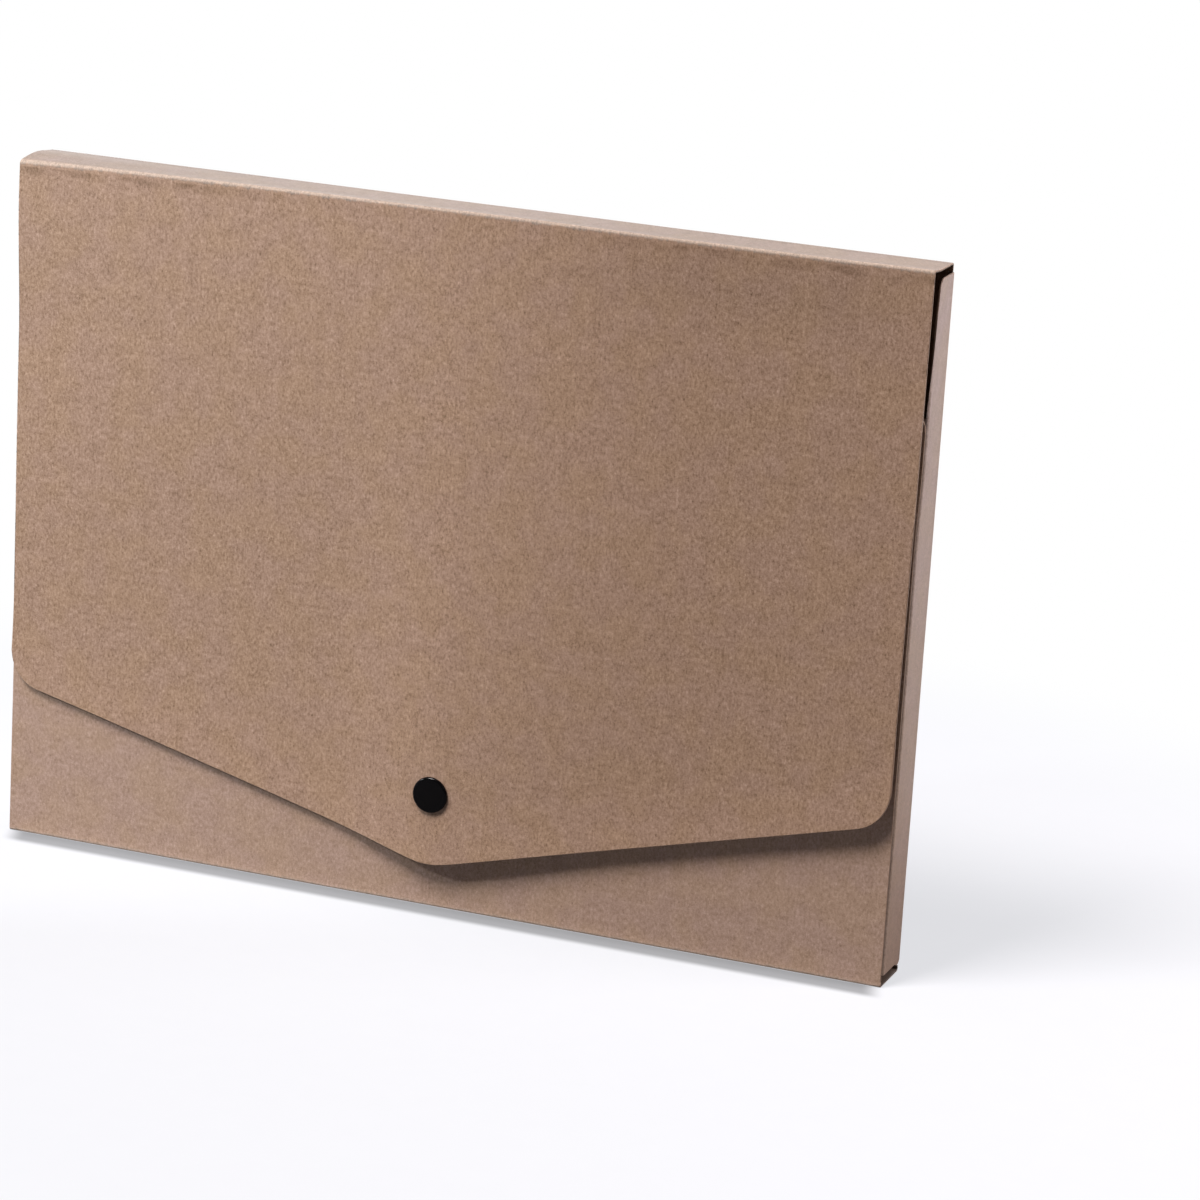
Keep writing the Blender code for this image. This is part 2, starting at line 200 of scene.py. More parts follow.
# Near the pocket's mouth the walls' front edges, the tabs and the front's upper corners lie back
RECESS = 1.8 * MM
RECESS_HEIGHT = mm(152, 180)
RECESS_SIDE = (TAB_FREE_X - 20 * MM, SIDE_X - 8 * MM)
RECESS_WALL = mm(4, 2)
# Every board is slightly uneven, apart from where it stands on the floor
RIPPLE = 0.1 * MM
RIPPLE_LENGTH = 45 * MM
RIPPLE_HEIGHT = mm(6, 40)

# The photograph's camera: angles, sensor and lens in millimetres, and where its axis passes the origin
CAMERA_AZIMUTH = math.radians(19.944)
CAMERA_ELEVATION = math.radians(15.147)
CAMERA_ROLL = math.radians(3.447)
CAMERA_SENSOR = 36
CAMERA_LENS = 134.99
CAMERA_RIGHT = 0.05694
CAMERA_UP = 0.10511
CAMERA_DISTANCE = 1.5729


def smoothstep(low, high, value):
    t = min(max((value - low) / (high - low), 0.0), 1.0)
    return t * t * (3 - 2 * t)


def corner_cut(radius, along):
    """How far a rounded corner has drawn in, at a distance along from the end of the edge."""
    if along >= radius:
        return 0.0
    reach = radius - max(along, 0.0)
    return radius - math.sqrt(radius ** 2 - reach ** 2)


def stepped(start, end, pitch):
    """Even steps from start to end, about pitch apart, with both ends."""
    count = max(1, round(abs(end - start) / pitch))
    return [start + (end - start) * i / count for i in range(count + 1)]


def joined(*runs):
    """Runs of values end to end, without repeating the value where two meet."""
    values = list(runs[0])
    for run in runs[1:]:
        values += [v for v in run if abs(v - values[-1]) > TINY]
    return values


def quarter_turn(steps):
    """Angles from 0 to a right angle."""
    return [math.pi / 2 * i / steps for i in range(steps + 1)]


# The folded sheet

def strip_point(x, s):
    """A point on the outer face of the strip that runs from the flap, over the top and back, to the front."""
    r = FOLD_RADIUS
    if s >= FLAP_START:
        drop = s - FLAP_START + FLAP_TANGENT
        return Vector((x, FLAP_Y - drop * math.sin(FLAP_TILT), TOP_Z - drop * math.cos(FLAP_TILT)))
    if s > SPINE_FRONT:
        t = (s - SPINE_FRONT) / r
        return Vector((x, FLAP_Y + FLAP_TANGENT - r * math.sin(t), TOP_Z - r + r * math.cos(t)))
    if s >= SPINE_BACK:
        return Vector((x, FLAP_Y + FLAP_TANGENT + SPINE_FRONT - s, TOP_Z))
    if s > BACK_TOP:
        t = (SPINE_BACK - s) / r
        return Vector((x, BACK_Y - r + r * math.sin(t), TOP_Z - r + r * math.cos(t)))
    if s >= BACK_FOOT:
        return Vector((x, BACK_Y, TOP_Z - r - (BACK_TOP - s)))
    if s > BASE_BACK:
        t = (BACK_FOOT - s) / r
        return Vector((x, BACK_Y - r + r * math.cos(t), r - r * math.sin(t)))
    if s >= BASE_FRONT:
        return Vector((x, BACK_Y - r - (BASE_BACK - s), 0))
    if s > FRONT_FOOT:
        t = (BASE_FRONT - s) / r
        return Vector((x, FRONT_Y + r - r * math.sin(t), r - r * math.cos(t)))
    return Vector((x, FRONT_Y, r + FRONT_FOOT - s))


def back_length(z):
    """The strip's length at height z on the back."""
    return BACK_TOP - (TOP_Z - FOLD_RADIUS - z)


def front_length(z):
    """The strip's length at height z on the front."""
    return FRONT_FOOT - (z - FOLD_RADIUS)


def flap_length(drop):
    """The strip's length at a distance down the flap from its crease axis."""
    return drop - FLAP_TANGENT + FLAP_START


def fading(x, length):
    """1 at the case's left end, falling to 0 at its middle."""
    tail = math.exp(-SPINE_HALF / length)
    return max(0.0, (math.exp(-(x + SPINE_HALF) / length) - tail) / (1 - tail))


def strip_shift(x, s):
    """How far the settled board lies from the plain fold, on the flap and the spine."""
    if s < SPINE_BACK:
        return Vector((0, 0, 0))
    droop = -DROOP * fading(x, DROOP_LENGTH)
    flare = -FLARE * fading(x, CROWN_LENGTH)
    bulge = -BULGE * fading(x, BULGE_LENGTH)
    over = OVERHANG * (smoothstep(*OVERHANG_SIDE, x) * smoothstep(*OVERHANG_END, SPINE_HALF - x))
    ridge = RIDGE * math.exp(-(s / RIDGE_REACH) ** 2)
    if s < 0:
        near = 1 - s / SPINE_BACK
        crown = CROWN * fading(x, CROWN_LENGTH) * math.sin(math.pi * near ** CROWN_LEAN)
        return Vector((flare * near, (bulge - over) * near, droop * near + crown + ridge))
    upper = 1 - smoothstep(*BULGE_DEPTH, s)
    out = bulge * upper - over * (1 - smoothstep(*OVERHANG_DEPTH, s))
    left = flap_length(flap_drop(x)) - s
    curl = -CURL * max(0.0, 1 - left / CURL_REACH) ** 2 * (1 - CURL_LOSS * smoothstep(*CURL_LOSS_SIDE, -x))
    close = smoothstep(*CLOSE_DEPTH, s) * smoothstep(*CLOSE_SIDE, -x)
    bow = smoothstep(*BOW_DEPTH, s) * smoothstep(*BOW_SIDE, x) * smoothstep(*BOW_END, FLAP_HALF - x)
    tuck = -TUCK_IN * smoothstep(*TUCK_DEPTH, s) * smoothstep(*TUCK_SIDE, x)
    return Vector((flare * upper + tuck, out + curl + CLOSE_IN * close + BOW_IN * bow, droop + ridge))


def strip_fold(s):
    """Length from the nearest fold's middle, and how worn that fold is."""
    nearest = min(range(len(FOLD_MIDDLES)), key=lambda i: abs(s - FOLD_MIDDLES[i]))
    return s - FOLD_MIDDLES[nearest], FOLD_WEAR_AND_LIGHT[nearest]


def on_strip(s, x):
    """What a board needs to know about one point of the strip."""
    fold, wear = strip_fold(s)
    return strip_point(x, s) + strip_shift(x, s), (x, s), fold, wear


def grid_normals(points):
    """Normals of a grid of points, turned away from the middle of the case."""
    normals = np.cross(np.gradient(points, axis=0), np.gradient(points, axis=1))
    normals /= np.linalg.norm(normals, axis=2, keepdims=True)
    middle = np.array((0.0, (BACK_Y + FRONT_Y) / 2, TOP_Z / 2))
    if np.sum(normals * (points - middle)) < 0:
        normals = -normals
    return normals


def ripple(point, sheet):
    """Gentle unevenness of the board, none where it stands on the floor."""
    u, v = sheet
    rise = smoothstep(*RIPPLE_HEIGHT, point[2])
    return RIPPLE * rise * noise.noise(Vector((u, v, 0)) / RIPPLE_LENGTH)


def boundary(row_count, column_count):
    """The grid's outline in order, as (row, column, side of the edge to the next one)."""
    last_row, last_column = row_count - 1, column_count - 1
    loop = [(0, j, "start") for j in range(last_column)]
    loop += [(i, last_column, "right") for i in range(last_row)]
    loop += [(last_row, j, "end") for j in range(last_column, 0, -1)]
    loop += [(i, 0, "left") for i in range(last_row, 0, -1)]
    return loop


def edge_outward(points, normals, here, there, side):
    """Direction in the board's plane that points out over one edge of the outline."""
    inward_step = {"start": (1, 0), "end": (-1, 0), "left": (0, 1), "right": (0, -1)}[side]
    inside = (here[0] + inward_step[0], here[1] + inward_step[1])
    along = points[there] - points[here]
    along /= np.linalg.norm(along)
    inward = points[inside] - points[here]
    inward = inward - along * (inward @ along)
    inward = inward - normals[here] * (inward @ normals[here])
    return -inward / np.linalg.norm(inward)


def outline_directions(points, normals, cut):
    """For each point of the outline, the way out over a cut edge, or zero inside a seam."""
    loop = boundary(*points.shape[:2])
    edges = []
    for k, (i, j, side) in enumerate(loop):
        there = loop[(k + 1) % len(loop)][:2]
        rule = cut[side]
        is_cut = rule((points[i, j] + points[there]) / 2) if callable(rule) else rule
        edges.append(edge_outward(points, normals, (i, j), there, side) if is_cut else None)
    directions = []
    for k in range(len(loop)):
        cuts = [edge for edge in (edges[k - 1], edges[k]) if edge is not None]
        if len(cuts) == 2:
            directions.append((cuts[0] + cuts[1]) / max(1 + cuts[0] @ cuts[1], MITRE_LIMIT))
        else:
            directions.append(cuts[0] if cuts else np.zeros(3))
    return [(i, j) for i, j, side in loop], directions


def rim_profile():
    """(inset, depth) of the rounded cut edge between the two faces."""
    turns = quarter_turn(RIM_STEPS)[1:]
    outer = [(RIM * (1 - math.sin(t)), RIM * (1 - math.cos(t))) for t in turns]
    return outer + [(inset, BOARD - depth) for inset, depth in reversed(outer)]


def band(upper, lower):
    """Faces between two closed rings of points."""
    faces = []
    for k in range(len(upper)):
        after = (k + 1) % len(upper)
        faces.append((upper[k], upper[after], lower[after], lower[k]))
    return faces


def hole_span(values, middle):
    """First and last of the values that a hole's block of cells takes."""
    inside = [i for i, v in enumerate(values) if abs(v - middle) < HOLE_BLOCK]
    return inside[0], inside[-1]


def board(name, rows, columns, place, hole=None, start=False, end=False, left=True, right=True):
    """A closed board from a grid. place(row, column) gives the outer point, its place on the sheet, its
    length from a fold and that fold's wear. hole is the row of a hole in the middle. start, end, left and
    right say which sides are cut edges, or give a test for a place on one; the others are seams."""
    cut = {"start": start, "end": end, "left": left, "right": right}
    count = len(rows), len(columns)
    points = np.zeros(count + (3,))
    sheet = np.zeros(count + (2,))
    folds = np.zeros(count)
    wears = np.zeros(count)
    for i, row in enumerate(rows):
        for j, column in enumerate(columns):
            points[i, j], sheet[i, j], folds[i, j], wears[i, j] = place(row, column)
    normals = grid_normals(points)
    for index in np.ndindex(count):
        points[index] += normals[index] * ripple(points[index], sheet[index])

    loop, directions = outline_directions(points, normals, cut)
    faces_points = points.copy()
    for index, direction in zip(loop, directions):
        faces_points[index] -= RIM * direction

    verts = []
    layers = []
    marks = []

    def add(point, index, depth, rim):
        verts.append(tuple(point))
        u, v = sheet[index]
        layers.append((u, v, INNER_LAYER * depth / BOARD))
        marks.append((folds[index], wears[index], rim))
        return len(verts) - 1

    outer = np.zeros(count, int)
    inner = np.zeros(count, int)
    for index in np.ndindex(count):
        outer[index] = add(faces_points[index], index, 0.0, 0.0)
        inner[index] = add(faces_points[index] - BOARD * normals[index], index, BOARD, 0.0)

    skipped = set()
    faces = []
    if hole is not None:
        row_span = hole_span(rows, hole)
        column_span = hole_span(columns, 0.0)
        skipped = {(i, j) for i in range(*row_span) for j in range(*column_span)}
        faces += hole_faces(points, normals, outer, inner, row_span, column_span, add)
    for i in range(count[0] - 1):
        for j in range(count[1] - 1):
            if (i, j) in skipped:
                continue
            for side in (outer, inner):
                faces.append((side[i, j], side[i + 1, j], side[i + 1, j + 1], side[i, j + 1]))

    rings = [[outer[index] for index in loop]]
    for inset, depth in rim_profile():
        ring = []
        for index, direction in zip(loop, directions):
            point = points[index] - inset * direction - depth * normals[index]
            ring.append(add(point, index, depth, 1.0 if direction.any() else 0.0))
        rings.append(ring)
    rings.append([inner[index] for index in loop])
    for upper, lower in zip(rings, rings[1:]):
        faces += band(upper, lower)
    return closed_mesh(name, verts, faces, layers, marks)


def hole_faces(points, normals, outer, inner, row_span, column_span, add):
    """Faces from the edge of a block of cells to a round hole in its middle, and the hole's wall."""
    top, bottom = row_span
    left, right = column_span
    middle = ((top + bottom) // 2, (left + right) // 2)
    ring = [(top + i, left + j) for i, j, side in boundary(bottom - top + 1, right - left + 1)]
    upper = []
    lower = []
    for index in ring:
        reach = points[index] - points[middle]
        point = points[middle] + reach * HOLE_RADIUS / np.linalg.norm(reach)
        upper.append(add(point, index, 0.0, 1.0))
        lower.append(add(point - BOARD * normals[middle], index, BOARD, 1.0))
    faces = band([outer[index] for index in ring], upper)
    faces += band([inner[index] for index in ring], lower)
    return faces + band(upper, lower)


def add_object(name, data):
    obj = bpy.data.objects.new(name, data)
    bpy.context.scene.collection.objects.link(obj)
    return obj


def closed_mesh(name, verts, faces, layers=None, marks=None):
    """A smooth closed mesh object, with its place on the sheet and its wear kept on its points."""
    mesh = bpy.data.meshes.new(name)
    mesh.from_pydata(verts, [], faces)
    if layers is not None:
        place = mesh.attributes.new("sheet", "FLOAT_VECTOR", "POINT")
        place.data.foreach_set("vector", np.array(layers, np.float32).ravel())
        for k, mark in enumerate(("fold", "wear", "rim")):
            kept = mesh.attributes.new(mark, "FLOAT", "POINT")
            kept.data.foreach_set("value", np.array([m[k] for m in marks], np.float32))
    work = bmesh.new()
    work.from_mesh(mesh)
    bmesh.ops.delete(work, geom=[v for v in work.verts if not v.link_faces], context="VERTS")
    bmesh.ops.recalc_face_normals(work, faces=work.faces)
    for face in work.faces:
        face.smooth = True
    work.to_mesh(mesh)
    work.free()
    obj = add_object(name, mesh)
    weighted = obj.modifiers.new("flat_faces", "WEIGHTED_NORMAL")
    weighted.keep_sharp = True
    return obj


# Boards of the pocket

def with_hole(values, middle):
    """Values with four even steps across a hole, and none of the old ones there."""
    block = stepped(middle - HOLE_REACH, middle + HOLE_REACH, HOLE_REACH / 2)
    return sorted([v for v in values if abs(v - middle) > HOLE_CLEAR] + block)


def across(half, insets=END_STEPS):
    """Places across a board, with closer ones at insets from its ends."""
    ends = [half - d for d in insets]
    inner = stepped(-half + 2 * PITCH, half - 2 * PITCH, PITCH)
    return sorted([-x for x in ends] + inner + ends)


def full_width():
    """Places across a board as wide as the spine."""
    return joined([-SPINE_HALF], across(WALL_SEAM), [SPINE_HALF])


def beside_back(p):
    """Whether a place lies past the back panel's seams, where nothing joins it."""
    return abs(p[0]) > WALL_SEAM


def front_board():
    """Front panel from its seam above the lower fold to its top edge, with rounded upper corners."""
    seam = FOLD_RADIUS + FOLD_LIP
    corner = [FRONT_CORNER * (1 - math.cos(t)) for t in quarter_turn(CORNER_STEPS)]
    columns = with_hole(across(SPINE_HALF, corner), 0.0)
    rows = with_hole(stepped(seam, FRONT_TOP, PITCH), SNAP_Z) + [FRONT_TOP - EDGE_ROW]
    rows.sort()

    def place(z, x):
        drawn_in = corner_cut(FRONT_CORNER, SPINE_HALF - abs(x)) * (z - seam) / (FRONT_TOP - seam)
        point, sheet, fold, wear = on_strip(front_length(z - drawn_in), x)
        point.y += recess(z) * smoothstep(*RECESS_SIDE, abs(x))
        return point, sheet, fold, wear

    return board("front_board", rows, columns, place, hole=SNAP_Z, end=True)


def base_board():
    """Base that the case stands on, folded up at the front and the back."""
    front = front_length(FOLD_RADIUS + FOLD_LIP)
    back = back_length(FOLD_RADIUS + FOLD_LIP)
    fold = QUARTER / FOLD_STEPS
    rows = joined([front], stepped(FRONT_FOOT, BASE_FRONT, fold), stepped(BASE_FRONT, BASE_BACK, PITCH / 2),
                  stepped(BASE_BACK, BACK_FOOT, fold), [back])
    return board("base_board", rows, full_width(), on_strip, end=beside_back)


def back_board():
    """Back panel between the base, the side walls and the crease that the top opens on."""
    low = back_length(FOLD_RADIUS + FOLD_LIP)
    high = BACK_TOP - BACK_LIP
    wall_low = WALL_LOW + WALL_BOTTOM_CORNER

    def free_side(p):
        return not wall_low < p[2] < WALL_TOP

    rows = joined([low], stepped(back_length(wall_low), back_length(WALL_TOP), PITCH), [high])
    return board("back_board", rows, across(WALL_SEAM), on_strip, left=free_side, right=free_side)


def wall_path():
    """(length from the back panel's fold, x, y) along a right side wall's outer face, from seam to seam."""
    r = FOLD_RADIUS
    centre = SIDE_X - r
    back = BACK_Y - r
    tab = TAB_Y + r
    run = back - tab
    path = [(-FOLD_LIP, WALL_SEAM, BACK_Y)]
    for t in quarter_turn(FOLD_STEPS):
        path.append((r * t, centre + r * math.sin(t), back + r * math.cos(t)))
    for step in stepped(0, run, MM)[1:-1]:
        path.append((QUARTER + step, SIDE_X, back - step))
    for t in quarter_turn(FOLD_STEPS):
        path.append((QUARTER + run + r * t, centre + r * math.cos(t), tab - r * math.sin(t)))
    girth = path[-1][0]
    path.append((girth + FOLD_LIP, WALL_SEAM, TAB_Y))
    return path, girth


def wall_top(inset):
    """Height of a wall's upper edge at a distance back from its front edge: drawn back, rounded, level."""
    if inset >= WALL_TAPER:
        return WALL_TOP - corner_cut(WALL_TOP_CORNER, inset - WALL_TAPER)
    rise = WALL_TOP - WALL_TOP_CORNER - WALL_TAPER_FOOT
    return WALL_TAPER_FOOT + rise * max(inset, 0.0) / WALL_TAPER


def recess(z):
    """How far a wall's front edge, its tab and the front's corner lie back, near the pocket's mouth."""
    return RECESS * smoothstep(*RECESS_HEIGHT, z)


def shares(edge, start, pitch):
    """Shares of a board's height from 0 to 1: even steps, with one close to each edge."""
    return joined([0.0, edge], stepped(start, 1 - start, pitch), [1 - edge, 1.0])


def wall_board(name, side):
    """Side wall with its folds from the back panel and into the tab, and its shaped ends."""
    path, girth = wall_path()

    def place(share, step):
        length, x, y = step
        lift = WALL_LIFT * smoothstep(*WALL_LIFT_RUN, length)
        low = WALL_LOW + corner_cut(WALL_BOTTOM_CORNER, length) + lift
        z = low + (wall_top(girth - length) - low) * share
        y += recess(z) * smoothstep(QUARTER + RECESS_WALL[0], girth - RECESS_WALL[1], length)
        back_fold = length - QUARTER / 2
        tab_fold = girth - QUARTER / 2 - length
        fold = back_fold if abs(back_fold) < abs(tab_fold) else tab_fold
        sheet = (side * (WALL_SEAM + FOLD_LIP + length), back_length(z))
        return Vector((side * x, y, z)), sheet, fold, WALL_WEAR

    def free_tab(p):
        return not TAB_LOW < p[2] < TAB_TOP

    rows = shares(edge=0.004, start=0.02, pitch=0.03)
    return board(name, rows, path, place, start=True, end=True, left=False, right=free_tab)


def tab_board(name, side):
    """Glued tab behind the front panel, with tapered ends and rounded free corners."""
    girth = wall_path()[1]
    free = [TAB_FREE_X + d for d in TAB_END_STEPS]
    columns = sorted(free + stepped(TAB_FREE_X + TAB_END, WALL_SEAM, TAB_PITCH))

    def place(share, x):
        taper = TAB_TAPER * (WALL_SEAM - x) / (WALL_SEAM - TAB_FREE_X)
        inset = taper + corner_cut(TAB_CORNER, x - TAB_FREE_X)
        z = TAB_LOW + inset + (TAB_TOP - TAB_LOW - 2 * inset) * share
        along = girth + FOLD_LIP + WALL_SEAM - x
        sheet = (side * (WALL_SEAM + FOLD_LIP + along), back_length(z))
        return Vector((side * x, TAB_Y + recess(z), z)), sheet, along, 0.0

    rows = shares(edge=0.005, start=0.03, pitch=0.04)
    return board(name, rows, columns, place, start=True, end=True, right=False)


# Boards of the lid

def spine_crease():
    """Crease between the back and the spine: the fold and a short lip on both sides."""
    rows = joined([BACK_TOP - BACK_LIP], stepped(BACK_TOP, SPINE_BACK, QUARTER / FOLD_STEPS),
                  [SPINE_BACK + OPEN_LIP / 2, SPINE_BACK + OPEN_LIP])
    return board("spine_crease_board", rows, full_width(), on_strip, start=beside_back)


def flap_crease():
    """Crease between the spine and the flap, made alike."""
    rows = joined([SPINE_FRONT - OPEN_LIP, SPINE_FRONT - OPEN_LIP / 2],
                  stepped(SPINE_FRONT, FLAP_START, QUARTER / FOLD_STEPS),
                  [FLAP_START + OPEN_LIP / 2, FLAP_START + OPEN_LIP])
    return board("flap_crease_board", rows, full_width(), on_strip)


def spine_board():
    """Flat top between the lips of its two creases."""
    rows = stepped(SPINE_BACK + OPEN_LIP, SPINE_FRONT - OPEN_LIP, PITCH / 4)
    return board("spine_board", rows, full_width(), on_strip)


def flap_drop(x):
    """Length of the flap at x, from its crease axis to its lower edge."""
    out = abs(x)
    slope = FLAP_SLOPE
    if out <= FLAP_TIP * math.sin(slope):
        return FLAP_SHARP_DROP - FLAP_TIP / math.cos(slope) + math.sqrt(FLAP_TIP ** 2 - out ** 2)
    if out >= FLAP_CORNER_X + FLAP_CORNER * math.sin(slope):
        centre = FLAP_SHARP_DROP - FLAP_CORNER_X * math.tan(slope) - FLAP_CORNER / math.cos(slope)
        return centre + math.sqrt(max(FLAP_CORNER ** 2 - (out - FLAP_CORNER_X) ** 2, 0.0))
    return FLAP_SHARP_DROP - out * math.tan(slope)


def flap_columns():
    """Places across the flap: close round its corners, even between them, and the snap's hole."""
    corner = []
    for i in range(FLAP_CORNER_STEPS + 1):
        turn = FLAP_SLOPE + (math.pi / 2 - FLAP_SLOPE) * i / FLAP_CORNER_STEPS
        corner.append(FLAP_CORNER_X + FLAP_CORNER * math.sin(turn))
    half = joined(stepped(2 * HOLE_REACH, corner[0], FLAP_COLUMN_PITCH), corner)
    return with_hole([-x for x in half] + half, 0.0)


def flap_board():
    """Envelope flap below its crease, with slanted edges, a blunt tip and a hole for the snap."""
    start = FLAP_TANGENT + OPEN_LIP
    tip = flap_drop(0.0)
    rows = with_hole(stepped(start, tip, FLAP_ROW_PITCH), SNAP_DROP)
    rows = [d for d in rows if d < tip - FLAP_LAST_ROW] + [tip - EDGE_ROW, tip]

    def place(drop, x):
        share = (drop - start) / (tip - start)
        return on_strip(flap_length(start + share * (flap_drop(x) - start)), x)

    return board("flap_board", rows, flap_columns(), place, hole=SNAP_DROP, end=True)


# Press snap: two caps with pins, and the socket and the stud that they rivet to the boards

LATHE_STEPS = 96
LATHE_SHARP = math.radians(50)
CAP_RADIUS = 6.4 * MM
CAP_HEIGHT = 1.45 * MM
CAP_DOME = 0.2 * MM
CAP_RIM = 0.9 * MM
CAP_RING = 1.35 * MM
CAP_FOOT = 0.3 * MM
BACK_CAP_RADIUS = 6.2 * MM
BACK_CAP_HEIGHT = 1.7 * MM
PIN_RADIUS = 1.35 * MM
RIVET_RADIUS = 1.9 * MM
RIVET_DEPTH = 0.4 * MM
BORE_RADIUS = 1.7 * MM
BORE_FLARE = 0.55 * MM
SOCKET_RADIUS = 5.3 * MM
SOCKET_HEIGHT = 2.2 * MM
SOCKET_FLOOR = 0.7 * MM
SOCKET_WALL = 4.85 * MM
SOCKET_MOUTH = mm(3.4, 4.45)
SOCKET_ROLL = 0.3 * MM
SOCKET_LIP_ROLL = 0.35 * MM
SOCKET_CAVITY = 3.5 * MM
SOCKET_LIP = 3.05 * MM
STUD_RADIUS = 5.3 * MM
STUD_FLANGE = 0.7 * MM
STUD_ROUND = 0.25 * MM
KNOB_HEIGHT = 1.3 * MM
KNOB_BULGE = 0.6
KNOB_RADIUS = 2.9 * MM
NECK_RADIUS = 2.6 * MM
SEAT = 0.03 * MM


def turn_arc(radius, height, size, start, end, steps):
    """Points of a rounded edge in a turned profile, angles in degrees from the radius outwards."""
    points = []
    for i in range(steps + 1):
        t = math.radians(start + (end - start) * i / steps)
        points.append((radius + size * math.cos(t), height + size * math.sin(t)))
    return points


def turned(name, profile, matrix):
    """A closed profile of (radius, height) points turned about Z."""
    verts = []
    rings = []
    for radius, height in profile:
        if radius < TINY:
            rings.append([len(verts)] * LATHE_STEPS)
            verts.append((0, 0, height))
            continue
        rings.append(list(range(len(verts), len(verts) + LATHE_STEPS)))
        for k in range(LATHE_STEPS):
            t = 2 * math.pi * k / LATHE_STEPS
            verts.append((radius * math.cos(t), radius * math.sin(t), height))
    pairs = list(zip(rings, rings[1:]))
    if profile[0][0] > TINY:
        pairs.append((rings[-1], rings[0]))
    faces = [tuple(dict.fromkeys(face)) for pair in pairs for face in band(*pair)]
    obj = closed_mesh(name, verts, faces)
    obj.data.transform(matrix)
    obj.data.set_sharp_from_angle(angle=LATHE_SHARP)
    return obj


def cap_profile(radius, height, grip):
    """Domed cap with a rolled rim and a faint ring, on a pin with a spread end. Height 0 is the board."""
    ring = radius - CAP_RING
    shoulder = height - CAP_DOME
    crown = [(0.0, height), (radius * 0.3, height - 0.01 * MM), (radius * 0.6, height - 0.06 * MM)]
    crown += [(ring - 0.25 * MM, height - 0.15 * MM), (ring, shoulder), (ring + 0.2 * MM, height - 0.16 * MM)]
    rim = turn_arc(radius - CAP_RIM, shoulder - CAP_RIM, CAP_RIM, 82, 0, 10)
    foot = [(radius, 0.35 * MM)] + turn_arc(radius - CAP_FOOT, CAP_FOOT + SEAT, CAP_FOOT, 0, -90, 4)
    pin = [(PIN_RADIUS + 0.3 * MM, SEAT), (PIN_RADIUS, SEAT - 0.2 * MM), (PIN_RADIUS, RIVET_DEPTH - grip)]
    return crown + rim + foot + pin + [(RIVET_RADIUS, -grip), (0.0, -grip - 0.1 * MM)]


def flap_matrix(depth):
    """Places a turned piece on the flap, its axis out of it, its height 0 at a depth below the face."""
    turn = Matrix.Rotation(-FLAP_TILT, 4, "X")
    place = Matrix.Translation((0, depth, -SNAP_DROP))
    return Matrix.Translation((0, FLAP_Y, TOP_Z)) @ turn @ place @ Matrix.Rotation(math.pi / 2, 4, "X")


def snap_cap():
    profile = cap_profile(CAP_RADIUS, CAP_HEIGHT, BOARD + GAP + SOCKET_FLOOR)
    return turned("snap_cap_gloss", profile, flap_matrix(0.0))


def snap_socket():
    """Female half with a rolled mouth. Height 0 is the mouth."""
    floor = SOCKET_HEIGHT - SOCKET_FLOOR
    top = SOCKET_HEIGHT + GAP - SEAT
    profile = [(BORE_RADIUS, top)]
    profile += turn_arc(SOCKET_RADIUS - SOCKET_ROLL, top - SOCKET_ROLL, SOCKET_ROLL, 90, 0, 4)
    profile += [(SOCKET_RADIUS, floor), (SOCKET_WALL, floor - 0.25 * MM)]
    profile += turn_arc(SOCKET_MOUTH[1], SOCKET_ROLL, SOCKET_ROLL, 0, -90, 4)
    profile += turn_arc(SOCKET_MOUTH[0], SOCKET_ROLL, SOCKET_LIP_ROLL, -90, -180, 4)
    profile += [(SOCKET_LIP, 0.5 * MM), (SOCKET_CAVITY, 0.85 * MM), (SOCKET_CAVITY, floor)]
    profile += [(BORE_RADIUS + BORE_FLARE, floor), (BORE_RADIUS, floor + RIVET_DEPTH)]
    return turned("snap_socket_gloss", profile, flap_matrix(BOARD + GAP + SOCKET_HEIGHT))


def snap_stud():
    """Male half with a bulged knob on a flange. Height 0 is the flange's underside."""
    top = STUD_FLANGE + KNOB_HEIGHT
    bulge = STUD_FLANGE + KNOB_BULGE * KNOB_HEIGHT
    profile = [(BORE_RADIUS + BORE_FLARE, top)]
    profile += turn_arc(NECK_RADIUS - 0.1 * MM, top - STUD_ROUND, STUD_ROUND, 90, 20, 4)
    profile += [(KNOB_RADIUS, bulge), (NECK_RADIUS + 0.05 * MM, STUD_FLANGE + 0.35 * MM)]
    profile += [(NECK_RADIUS + 0.15 * MM, STUD_FLANGE + 0.1 * MM), (NECK_RADIUS + 0.4 * MM, STUD_FLANGE)]
    profile += turn_arc(STUD_RADIUS - STUD_ROUND, STUD_FLANGE - STUD_ROUND, STUD_ROUND, 90, 0, 4)
    profile += [(STUD_RADIUS, 0.05 * MM - GAP), (STUD_RADIUS - 0.2 * MM, SEAT - GAP)]
    profile += [(BORE_RADIUS, SEAT - GAP), (BORE_RADIUS, top - RIVET_DEPTH)]
    place = Matrix.Translation((0, FRONT_Y - GAP, SNAP_Z)) @ Matrix.Rotation(math.pi / 2, 4, "X")
    return turned("snap_stud_gloss", profile, place)


def snap_back_cap():
    profile = cap_profile(BACK_CAP_RADIUS, BACK_CAP_HEIGHT, BOARD + GAP + STUD_FLANGE + KNOB_HEIGHT)
    place = Matrix.Translation((0, FRONT_Y + BOARD, SNAP_Z)) @ Matrix.Rotation(-math.pi / 2, 4, "X")
    return turned("snap_back_cap_gloss", profile, place)


# Materials

